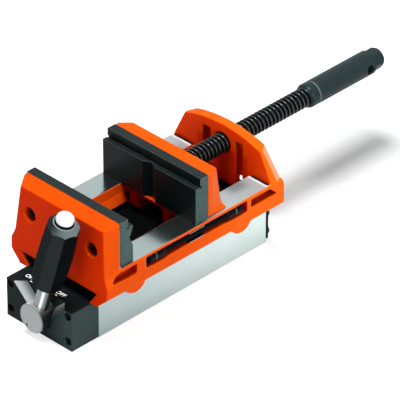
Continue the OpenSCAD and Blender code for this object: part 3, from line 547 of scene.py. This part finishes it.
def front_cap_coating(name):
    """The cap's coating, with painted light on its sides towards the near corner, and bare metal walls in the
    notch that carry painted shade.
    """
    f = Finish(name, Specular_IOR_Level=COATING_SHEEN)
    coat, gloss, relief = satin_black(f)
    depth, across = f.along(f.place())[:2]
    # painted light on the sides towards the near corner
    lit_side = across.fall(-BASE_TOP, 0) * f.facing()[2].fall(0.5, 0.9)
    coat = f.mix(lit_side * 0.8, coat, COATING_LIT_SIDE)
    bare = notch_wall(f, 1) + notch_wall(f, -1)
    # painted shade on the notch walls: the far wall darker further in, the near wall darker towards the front
    inside = depth.rise(CAP_FRONT + 1 * MM, CAP_FRONT + 7.2 * MM)
    far = across.rise(-1 * MM, 1 * MM)
    metal = f.mix(inside * far + (1 - inside) * (1 - far), NOTCH_LIT, NOTCH_SHADED)
    return f.show(
        Base_Color=f.mix(bare, coat, metal),
        Metallic=bare * 0.3,
        Roughness=gloss * (1 - bare) + bare * 0.42,
        Normal=relief,
    ).material


# Blackened steel

RUBBED_EDGE = colour(0.16, 0.175, 0.175)
THREAD_DARK = colour(0.003, 0.004, 0.004)
THREAD_BLACK = colour(0.006, 0.0075, 0.0075)
THREAD_CREST = colour(0.006, 0.009, 0.010)
# Painted glint on the corners of the thread crests.
THREAD_GLINT = colour(0.10, 0.122, 0.126)
SLEEVE_DARK = colour(0.015, 0.027, 0.031)
SLEEVE_BLUE = colour(0.021, 0.036, 0.041)
SLEEVE_EDGE = colour(0.16, 0.18, 0.18)
# Painted highlight in the ring groove of the sleeve.
SLEEVE_RING_HIGHLIGHT = colour(0.15, 0.175, 0.18)
JAW_DARK = colour(0.0045, 0.0080, 0.0084)
JAW_GREY = colour(0.009, 0.0145, 0.015)
JAW_EDGE = colour(0.30, 0.35, 0.35)
SAWN_DARK = colour(0.036, 0.070, 0.066)
SAWN_PALE = colour(0.080, 0.142, 0.132)
CLIP_DARK = colour(0.005, 0.006, 0.006)
CLIP_BLACK = colour(0.010, 0.012, 0.012)
# Painted highlight along the front edges of the clip's arms.
CLIP_EDGE_HIGHLIGHT = colour(0.42, 0.46, 0.46)
OXIDE_GRAIN = 0.9 * MM
OXIDE_CLOUD = 12 * MM
OXIDE_DEPTH = 0.02 * MM


def black_oxide(name, light, dark, gloss, sheen):
    """Blackened steel with a soft sheen and lighter edges from wear."""
    f = Finish(name, Specular_IOR_Level=sheen)
    grain = f.noise(OXIDE_GRAIN, 3)
    body = f.mix(grain * 0.5 + f.noise(OXIDE_CLOUD, 3) * 0.5, dark, light)
    return f.show(
        Base_Color=f.mix(f.edge(0.3 * MM) * 0.5, body, RUBBED_EDGE),
        Roughness=grain * 0.12 + (gloss - 0.06),
        Normal=f.bump(grain, OXIDE_DEPTH, f.round_edges(0.35 * MM)),
    ).material


def thread_oxide(name):
    """Blackened thread, with a painted glint along the corners of its crests, where it is also made partly
    metallic.
    """
    f = Finish(name, Specular_IOR_Level=0.2)
    radius = f.from_axis(SPINDLE_Z)
    grain = f.noise(OXIDE_GRAIN, 3)
    crest = radius.rise(SPINDLE_RADIUS - 0.5 * MM, SPINDLE_RADIUS - 0.25 * MM)
    # painted glint on the crest corners
    glint = crest * radius.fall(SPINDLE_RADIUS - 0.12 * MM, SPINDLE_RADIUS - 0.03 * MM)
    body = f.mix(crest, f.mix(grain, THREAD_DARK, THREAD_BLACK), THREAD_CREST)
    return f.show(
        Base_Color=f.mix(glint, body, THREAD_GLINT),
        Metallic=glint * 0.85,
        Roughness=grain * 0.08 + 0.20,
        Normal=f.bump(grain, OXIDE_DEPTH),
    ).material


def sleeve_oxide(name):
    """Blue-grey blackened sleeve: a smoother mouth, a painted highlight line in its ring groove."""
    f = Finish(name, Specular_IOR_Level=0.12)
    x = f.along(f.place())[0]
    grain = f.noise(OXIDE_GRAIN, 3)
    # painted highlight line in the ring groove
    ring = x.band(SLEEVE_MOUTH - 0.1 * MM, SLEEVE_MOUTH + 0.3 * MM, SLEEVE_MOUTH + 1.1 * MM,
                  SLEEVE_MOUTH + 1.5 * MM)
    mouth = x.fall(SLEEVE_MOUTH, SLEEVE_MOUTH + 0.3 * MM)
    body = f.mix(grain * 0.5 + f.noise(OXIDE_CLOUD, 3) * 0.5, SLEEVE_DARK, SLEEVE_BLUE)
    body = f.mix(f.edge(0.3 * MM) * 0.3, body, SLEEVE_EDGE)
    return f.show(
        Base_Color=f.mix(ring, body, SLEEVE_RING_HIGHLIGHT),
        Roughness=grain * 0.12 + 0.34 - mouth * 0.12,
        Normal=f.bump(grain, OXIDE_DEPTH, f.round_edges(0.35 * MM)),
    ).material


def jaw_steel(name):
    """Hardened jaw plate: fine crystalline grain, lighter on the sawn ends, paler along the edges."""
    f = Finish(name, Metallic=0.24, Specular_IOR_Level=0.1)
    end = abs(f.along(f.place())[1]).rise(JAW_HALF - 0.3 * MM, JAW_HALF - 0.1 * MM)
    upward = f.facing()[2].rise(0.6, 0.95)
    speck = f.noise(0.9 * MM, 3, roughness=0.7)
    face = f.mix(f.noise(20 * MM, 3), JAW_DARK, JAW_GREY)
    sawn = f.mix(speck.rise(0.3, 0.7), SAWN_DARK, SAWN_PALE)
    body = f.mix(end + upward * 0.12 * (1 - end), face, sawn)
    return f.show(
        Base_Color=f.mix(f.edge(0.4 * MM) * 0.7, body, JAW_EDGE),
        Roughness=speck * 0.14 + end * 0.16 + 0.28,
        Normal=f.bump(speck * (end * 0.8 + 0.2), 0.05 * MM, f.round_edges(0.4 * MM)),
    ).material


def clip_steel(name):
    """Blackened spring clip, with a painted highlight along the front edges of its arms."""
    f = Finish(name, Specular_IOR_Level=0.1)
    # painted highlight along the front edges of the arms
    front = f.along(f.place())[1].fall(-FRAME_HALF + 0.55 * MM, -FRAME_HALF + 0.7 * MM)
    grain = f.noise(0.6 * MM, 2)
    return f.show(
        Base_Color=f.mix(front, f.mix(grain, CLIP_DARK, CLIP_BLACK), CLIP_EDGE_HIGHLIGHT),
        Roughness=grain * 0.1 + 0.3,
        Normal=f.bump(grain, 0.01 * MM),
    ).material


# Plastic, button and ink

# Pale colour: painted light on the grip, pale grooves on the bar caps.
PLASTIC_PALE = colour(0.27, 0.34, 0.345)
BUTTON_WHITE = colour(0.92, 0.94, 0.94)
# Painted shade on the foot of the button.
BUTTON_FOOT_SHADE = colour(0.006, 0.007, 0.008)
INK = colour(0.90, 0.91, 0.91)
INK_BRIGHT = colour(0.96, 0.96, 0.96)


def moulded_plastic(name, tone, pale, gloss, sheen, pale_part):
    """Black moulded plastic with a faint skin texture; the last argument gives where it is made pale: painted
    light on the grip, pale grooves on the bar caps.
    """
    f = Finish(name, Specular_IOR_Level=sheen)
    skin = f.noise(0.7 * MM, 2)
    body = f.mix(f.noise(15 * MM, 2), tone, pale)
    return f.show(
        Base_Color=f.mix(pale_part(f), body, PLASTIC_PALE),
        Roughness=skin * 0.08 + gloss,
        Normal=f.bump(skin, 0.012 * MM, f.round_edges(0.3 * MM)),
    ).material


def lever_height(f):
    """Distance from the hub axis along the lever."""
    return f.dot(f.place(), LEVER_AXIS) - LEVER_HUB.dot(LEVER_AXIS)


def grip_painted_light(f):
    """Painted light on the grip: the turned cone below the rim made pale, more on its lit side, a painted
    highlight on the rim line round the button, and painted light on the flats that face the front.
    """
    normal = f.outward()
    height = lever_height(f)
    # painted light on the turned cone, a painted highlight on the rim line, painted light on the flats facing
    # the front
    cone = f.dot(normal, LEVER_AXIS).rise(0.4, 0.6) * height.rise(GRIP_TOP - 7 * MM, GRIP_TOP - 6 * MM)
    lit_cone = f.dot(normal, CONE_LIT_SIDE).rise(-0.3, 0.8, 0.06, 0.5)
    line = height.rise(GRIP_TOP - 0.25 * MM, GRIP_TOP - 0.1 * MM)
    lit_flats = f.dot(normal, GRIP_LIT_SIDE).rise(0.8, 0.98)
    return cone * lit_cone + line * 0.6 + lit_flats * 0.08


def cap_ring(f):
    """Pale in the ring groove of each bar cap."""
    away = abs(f.along(f.place())[0] - BAR_MIDDLE)
    return abs(away - (BAR_HALF - 6.9 * MM)).fall(0.4 * MM, 0.8 * MM) * 0.4


def button_shell(name):
    """Bright push button, with painted shade on its foot, which sinks into the grip, and a little above it.
    """
    f = Finish(name, Specular_IOR_Level=0.3)
    # painted shade on the foot of the button
    foot = lever_height(f).fall(BUTTON_TOP - 5.2 * MM, BUTTON_TOP - 4.6 * MM)
    haze = f.noise(HAZE, 3)
    return f.show(
        Base_Color=f.mix(foot, BUTTON_WHITE, BUTTON_FOOT_SHADE),
        Metallic=(1 - foot) * 0.3,
        Roughness=haze * 0.06 + 0.17,
        Normal=f.bump(haze, HAZE_DEPTH),
    ).material


def glowing_mark_ink(name):
    """White marking ink, slightly uneven, made to glow faintly: painted light."""
    # The ink glows faintly: painted light.
    f = Finish(name, Specular_IOR_Level=0.3, Emission_Strength=0.5, Emission_Color=WHITE)
    wear = f.noise(0.5 * MM, 2)
    return f.show(Base_Color=f.mix(wear, INK, INK_BRIGHT), Roughness=wear * 0.2 + 0.4).material


# Meshes

WELD = 1e-6
CASTING_WELD = 2e-6
NO_LENGTH = 1e-7


def add_object(name, data):
    """A new object in the scene."""
    piece = bpy.data.objects.new(name, data)
    bpy.context.scene.collection.objects.link(piece)
    return piece


def mesh_piece(name, verts, faces, material, body, smooth_below=40):
    """A new object from points and faces, smooth except at edges sharper than the given angle."""
    mesh = bpy.data.meshes.new(name)
    mesh.from_pydata([tuple(v) for v in verts], [], faces)
    built = bmesh.new()
    built.from_mesh(mesh)
    bmesh.ops.remove_doubles(built, verts=built.verts, dist=WELD)
    bmesh.ops.recalc_face_normals(built, faces=built.faces)
    built.to_mesh(mesh)
    built.free()
    mesh.shade_smooth()
    mesh.set_sharp_from_angle(angle=math.radians(smooth_below))
    mesh.materials.append(material)
    piece = add_object(name, mesh)
    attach(piece, body)
    return piece


def ring_angles(sides):
    """Angles of evenly spaced points round an axis."""
    return [2 * math.pi * side / sides for side in range(sides)]


def rings_to_faces(count, sides):
    """Quads between neighbouring rings of points, each ring closed."""
    quads = []
    for ring in range(count - 1):
        for side in range(sides):
            after = (side + 1) % sides
            a = ring * sides
            b = a + sides
            quads.append((a + side, a + after, b + after, b + side))
    return quads


def soft_casting(node, material, voxel=0.55 * MM, rounds=9, keep=0.14):
    """A casting's solid with the small radii that a mould leaves on every edge."""
    solid = frame["nodes"][node]
    rough = add_object(node + "_rough", solid.data.copy())
    welded = bmesh.new()
    welded.from_mesh(rough.data)
    bmesh.ops.remove_doubles(welded, verts=welded.verts, dist=CASTING_WELD)
    welded.to_mesh(rough.data)
    welded.free()
    remesh = rough.modifiers.new("remesh", "REMESH")
    remesh.mode = "VOXEL"
    remesh.voxel_size = voxel
    smooth = rough.modifiers.new("smooth", "SMOOTH")
    smooth.factor = 0.5
    smooth.iterations = rounds
    thin = rough.modifiers.new("thin", "DECIMATE")
    thin.ratio = keep
    shaped = rough.evaluated_get(bpy.context.evaluated_depsgraph_get())
    mesh = bpy.data.meshes.new_from_object(shaped)
    bpy.data.objects.remove(rough)
    mesh.shade_smooth()
    mesh.materials.clear()
    mesh.materials.append(material)
    piece = add_object(node + "_cast", mesh)
    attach(piece, solid["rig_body"])
    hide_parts(node)


def on_spindle(x, radius, angle):
    """A point at an angle round the spindle's axis."""
    return (x, radius * math.cos(angle), SPINDLE_Z + radius * math.sin(angle))


def threaded_spindle(material, sides=56):
    """The spindle with a right-hand trapezoidal thread between its journal and its handle."""
    journal_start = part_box("spindle")[0].x
    thread_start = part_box("moving_jaw")[1].x - THREAD_RUN_IN
    crest = SPINDLE_RADIUS
    root = crest - THREAD_DEPTH
    shoulder = crest - 0.45 * MM
    corner = crest - 0.2 * MM
    section = [(0.00, root), (0.34, root), (0.42, shoulder), (0.45, corner),
               (0.56, crest), (0.70, crest), (0.81, corner), (0.84, shoulder)]
    turns = math.ceil((SLEEVE_START - thread_start) / THREAD_PITCH) + 1
    helix = [(turn + share, radius) for turn in range(-1, turns) for share, radius in section]
    journal = [(journal_start, 0.0), (journal_start, JOURNAL_RADIUS), (thread_start, JOURNAL_RADIUS)]
    angles = ring_angles(sides)
    verts = [on_spindle(x, radius, angle) for x, radius in journal for angle in angles]
    for share, radius in helix:
        for side, angle in enumerate(angles):
            x = thread_start + (share + side / sides) * THREAD_PITCH
            verts.append(on_spindle(min(max(x, thread_start), SLEEVE_START), radius, angle))
    faces = rings_to_faces(len(journal), sides)
    first = len(journal) * sides
    for row in range(len(helix) - 1):
        for side in range(sides):
            a = first + row * sides + side
            b = a + sides
            if side + 1 < sides:
                quad = (a, a + 1, b + 1, b)
            elif row + len(section) + 1 < len(helix):
                next_turn = first + (row + len(section)) * sides
                quad = (a, next_turn, next_turn + sides, b)
            else:
                continue
            run = [verts[i][0] for i in quad]
            if max(run) - min(run) > NO_LENGTH:
                faces.append(quad)
    piece = mesh_piece("threaded_spindle", verts, faces, material, "screw", 50)
    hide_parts("spindle")


def on_lever(radius, angle, height):
    """A point at an angle round the lever's own axis, with the lever at rest."""
    upright = Vector((radius * math.cos(angle), radius * math.sin(angle), height))
    return Matrix.Rotation(LEVER_LEAN, 3, "X") @ upright + LEVER_HUB


def grip_radius(angle, height):
    """Distance from the lever's axis to the grip: eight flats, a turned rim cone and a broken foot edge."""
    share = (height - GRIP_START) / (GRIP_TOP - GRIP_START)
    if share < GRIP_WIDEST:
        swell = math.sin(share / GRIP_WIDEST * math.pi / 2) ** 0.6
        half = GRIP_FOOT_HALF + (GRIP_HALF - GRIP_FOOT_HALF) * swell
    else:
        taper = ((share - GRIP_WIDEST) / (1 - GRIP_WIDEST)) ** 1.2
        half = GRIP_HALF - (GRIP_HALF - GRIP_TOP_HALF) * taper
    sector = math.pi / 4
    local = (angle - GRIP_TURN) % sector - sector / 2
    flats = min(half / math.cos(local), half * GRIP_CORNER)
    rim = GRIP_RIM + (GRIP_TOP - height) * GRIP_RIM_SLOPE
    foot = GRIP_FOOT_HALF - 1.0 * MM + (height - GRIP_START) * GRIP_FOOT_SLOPE
    return min(flats, rim, foot)


def lever_grip(material, sides=144):
    """Eight-sided grip with a turned rim and a recess for its button."""
    steps = [0, 0.5, 1, 1.5, 2, 3.5, 6, 9, 13, 18, 24, 30, 36, 42, 48, 54, 59]
    heights = [GRIP_START + step * MM for step in steps]
    heights += [GRIP_TOP - (5.6 - 0.2 * step) * MM for step in range(16)] + [GRIP_TOP - 1.2 * MM, GRIP_TOP]
    angles = ring_angles(sides)
    rows = [[(GRIP_FOOT_HALF - 4.4 * MM, GRIP_START)] * sides]
    rows += [[(grip_radius(angle, height), height) for angle in angles] for height in heights]
    recess = BUTTON_RADIUS + 0.5 * MM
    recess_floor = BUTTON_SEAT - 3.1 * MM
    broken_edge = 0.4 * MM
    for corner in [(recess + broken_edge, GRIP_TOP), (recess, GRIP_TOP - broken_edge), (recess, recess_floor),
                   (0.0, recess_floor)]:
        rows.append([corner] * sides)
    verts = [on_lever(radius, angle, height) for row in rows for angle, (radius, height) in zip(angles, row)]
    faces = rings_to_faces(len(rows), sides)
    piece = mesh_piece("octagon_grip", verts, faces, material, "lever", 14)
    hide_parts("lever_grip")


def push_button(material, sides=72):
    """Domed release button with its plunger."""
    plunger = BUTTON_RADIUS / 2
    plunger_foot = GRIP_TOP - 24.7 * MM
    shoulder = BUTTON_TOP - BUTTON_DOME
    rows = [(0.0, plunger_foot), (plunger, plunger_foot), (plunger, BUTTON_SEAT),
            (BUTTON_RADIUS, BUTTON_SEAT)]
    dome_steps = 12
    for step in range(dome_steps + 1):
        turn = step / dome_steps * math.pi / 2
        height = shoulder + BUTTON_DOME * math.sin(turn) ** 0.9
        rows.append((BUTTON_RADIUS * math.cos(turn) ** 0.62, height))
    angles = ring_angles(sides)
    verts = [on_lever(radius, angle, height) for radius, height in rows for angle in angles]
    faces = rings_to_faces(len(rows), sides)
    piece = mesh_piece("domed_button", verts, faces, material, "button")
    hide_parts("release_button")


def switch_mark(word, spot, tick, material):
    """A word and a tick line printed on the cap for one position of the lever."""
    letters = bpy.data.curves.new("mark_" + word.lower(), "FONT")
    letters.body = word
    letters.size = MARK_SIZE
    letters.align_x = "CENTER"
    letters.align_y = "CENTER"
    letters.extrude = 0.02 * MM
    letters.offset = 0.06 * MM
    letters.materials.append(material)
    piece = add_object("mark_" + word.lower(), letters)
    along_y = Matrix.Rotation(-math.pi / 2, 4, "Z")
    piece.matrix_world = Matrix.Translation((spot[0], spot[1], BASE_TOP + 0.03 * MM)) @ along_y
    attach(piece, "base")
    start = Vector((tick[0], tick[1], BASE_TOP + 0.04 * MM))
    fan_centre = Vector((LEVER_X + 12 * MM, 0, start.z))
    half_length, half_width = 1.3 * MM, 0.35 * MM
    run = (start - fan_centre).normalized() * half_length
    wide = Vector((-run.y, run.x, 0)).normalized() * half_width
    corners = [start - run - wide, start + run - wide, start + run + wide, start - run + wide]
    mesh_piece("tick_" + word.lower(), corners, [(0, 1, 2, 3)], material, "base")


# Dressing the solids

brass = yellow_metal("brass", colour(0.66, 0.50, 0.24), colour(0.56, 0.41, 0.18))
bronze = yellow_metal("bronze", colour(0.52, 0.34, 0.15), colour(0.42, 0.26, 0.11))
magnet = black_oxide("magnet_grey", colour(0.10, 0.10, 0.10), colour(0.06, 0.06, 0.06), 0.5, 0.4)
plain_steel = ground_steel("plain_steel", colour(0.42, 0.43, 0.43), colour(0.33, 0.34, 0.34))
# Near-white pin: a painted highlight on the hub pin.
pin_steel_highlight = ground_steel("pin_steel_highlight", colour(0.9, 0.93, 0.93), colour(0.8, 0.83, 0.83), metallic=0.2)
hub = hub_steel("hub_steel", colour(0.34, 0.37, 0.365), colour(0.29, 0.32, 0.315), 0.34)
oxide = black_oxide("black_oxide", colour(0.010, 0.012, 0.012), colour(0.005, 0.006, 0.006), 0.32, 0.25)
# Black adapter plate, made darker and duller than the other black parts: painted shade in the slot.
adapter = black_oxide("adapter_black_shaded", colour(0.003, 0.004, 0.004), colour(0.002, 0.0025, 0.0025), 0.5, 0.01)
bar = black_oxide("bar_black", colour(0.004, 0.005, 0.006), colour(0.002, 0.003, 0.0035), 0.32, 0.02)
bar_cap_tones = colour(0.003, 0.004, 0.0045), colour(0.005, 0.006, 0.0065)
grip_tones = colour(0.002, 0.003, 0.0034), colour(0.004, 0.0055, 0.006)

DRESSING = [
    (pole_steel("ground_pole_steel"), ["pole_left", "pole_right"]),
    (brass, ["spacer_top", "spacer_bottom"]),
    (magnet, ["rotor_magnet"]),
    (plain_steel, ["rotor_shaft", "spindle_pins"]),
    (front_cap_coating("cap_coating"), ["front_cap"]),
    (rear_plate_coating("plate_coating"), ["rear_plate"]),
    (adapter, ["adapter_plate"]),
    (bar, ["tommy_bar"]),
    (bronze, ["front_bush", "rear_bush", "spindle_nut"]),
    (oxide, ["cap_screws", "rear_plate_screws", "adapter_screws", "frame_bolts", "fixed_jaw_screws",
             "moving_jaw_screws", "keeper_plate", "keeper_screws"]),
    (hub, ["lever_hub"]),
    (stem_steel("stem_steel"), ["lever_stem"]),
    (pin_steel_highlight, ["hub_pin"]),
    (polished_steel("spring_steel", colour(0.55, 0.56, 0.56), 0.2), ["button_spring"]),
    (clip_steel("clip_steel"), ["bar_clip", "clip_rivet"]),
    (jaw_steel("jaw_plate_steel"), ["fixed_jaw_plate", "moving_jaw_plate"]),
    (sleeve_oxide("sleeve_oxide"), ["handle_sleeve", "sleeve_screw"]),
    (moulded_plastic("bar_cap_plastic", *bar_cap_tones, 0.3, 0.04, cap_ring), ["bar_caps"]),
]
for finish, names in DRESSING:
    for name in names:
        solid = frame["nodes"][name]
        solid.data.materials.clear()
        solid.data.materials.append(finish)

soft_casting("vise_body", frame_enamel("frame_enamel"))
soft_casting("moving_jaw", jaw_enamel("jaw_enamel"))
threaded_spindle(thread_oxide("thread_oxide"))
lever_grip(moulded_plastic("grip_plastic", *grip_tones, 0.24, 0.003, grip_painted_light))
push_button(button_shell("button_shell"))
ink = glowing_mark_ink("mark_white_glowing")
switch_mark("ON", ON_WORD, ON_TICK, ink)
switch_mark("OFF", OFF_WORD, OFF_TICK, ink)


# Stage, light and camera

FLOOR_HALF = 6.0
FLOOR_DROP = 0.2 * MM
FLOOR_TONE = colour(0.785, 0.795, 0.795)
FLOOR_GLOW = 0.19
FLOOR_LIFT = 0.38
SHADOW_DEPTH = 0.54
SHADOW_X = (0.09, 0.13, 0.255, 0.295)
SHADOW_Y = (-0.045, -0.026, 0.026, 0.055)
LAMP_AIM = (0.03, 0, 0.04)


def studio_floor():
    """A wide floor, lifted to white for the camera except round the cast shadow of the spindle and sleeve."""
    floor_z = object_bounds()[0][2] - FLOOR_DROP
    mesh = bpy.data.meshes.new("studio_floor")
    corners = [(-FLOOR_HALF, -FLOOR_HALF, 0), (FLOOR_HALF, -FLOOR_HALF, 0), (FLOOR_HALF, FLOOR_HALF, 0),
               (-FLOOR_HALF, FLOOR_HALF, 0)]
    mesh.from_pydata(corners, [], [(0, 1, 2, 3)])
    f = Finish("floor_white", Base_Color=FLOOR_TONE, Roughness=0.9, Specular_IOR_Level=0.0,
               Emission_Strength=1.0)
    x, y = f.along(f.place())[:2]
    shaded = x.band(*SHADOW_X) * y.band(*SHADOW_Y)
    camera = f.node("ShaderNodeLightPath", output="Is Camera Ray")
    level = f.seen_directly() * FLOOR_GLOW + camera * (FLOOR_LIFT - shaded * SHADOW_DEPTH)
    f.show(Emission_Color=f.mix(level, BLACK, WHITE))
    mesh.materials.append(f.material)
    floor = add_object("studio_floor", mesh)
    floor.location.z = floor_z
    floor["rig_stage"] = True


class Surroundings(Finish):
    """The world's nodes, built from the same expressions."""

    def __init__(self, name):
        self.world = bpy.data.worlds.new(name)
        self.world.use_nodes = True
        self.tree = self.world.node_tree
        self.shader = self.tree.nodes["Background"]


def studio_world(ambient, dark_room):
    """White to the camera; mirrors show the white backdrop and, behind the camera, a darker room."""
    w = Surroundings("studio_world")
    bpy.context.scene.world = w.world
    towards = w.node("ShaderNodeTexCoord", output="Generated")
    backdrop = w.dot(towards, -CAMERA_BACK * Vector((1, 1, 0))).rise(-0.25, 0.35, dark_room, 1.0)
    camera = w.node("ShaderNodeLightPath", output="Is Camera Ray")
    seen = w.seen_directly()
    level = camera + (seen - camera) * backdrop + (1 - seen) * ambient
    w.show(Color=w.mix(level, BLACK, WHITE))


def softbox(name, spot, size, watts):
    """A square area lamp aimed at the middle of the vise."""
    lamp = bpy.data.lights.new(name, "AREA")
    lamp.size = size
    lamp.energy = watts
    holder = add_object(name, lamp)
    holder.location = spot
    holder.rotation_euler = (Vector(LAMP_AIM) - Vector(spot)).to_track_quat("-Z", "Y").to_euler()


def photo_camera():
    """The camera of the photograph: a long lens from the front left, looking down."""
    camera = add_object("photo_camera", bpy.data.cameras.new("photo_camera"))
    camera.data.lens = CAMERA_LENS
    camera.data.clip_end = CAMERA_REACH
    right = CAMERA_RIGHT.normalized()
    back = CAMERA_BACK.normalized()
    axes = Matrix((right, back.cross(right), back)).transposed().to_4x4()
    axes.translation = CAMERA_TARGET + back * CAMERA_DISTANCE
    camera.matrix_world = axes
    bpy.context.scene.camera = camera


studio_floor()
studio_world(ambient=0.15, dark_room=0.12)
softbox("key_lamp", (-0.36, -0.02, 3.0), size=0.95, watts=84)
softbox("side_lamp", (-0.05, -1.85, 0.9), size=1.4, watts=22)
softbox("front_lamp", (-2.0, -0.2, 0.7), size=1.0, watts=7)
photo_camera()
bpy.context.scene.view_settings.view_transform = "Standard"
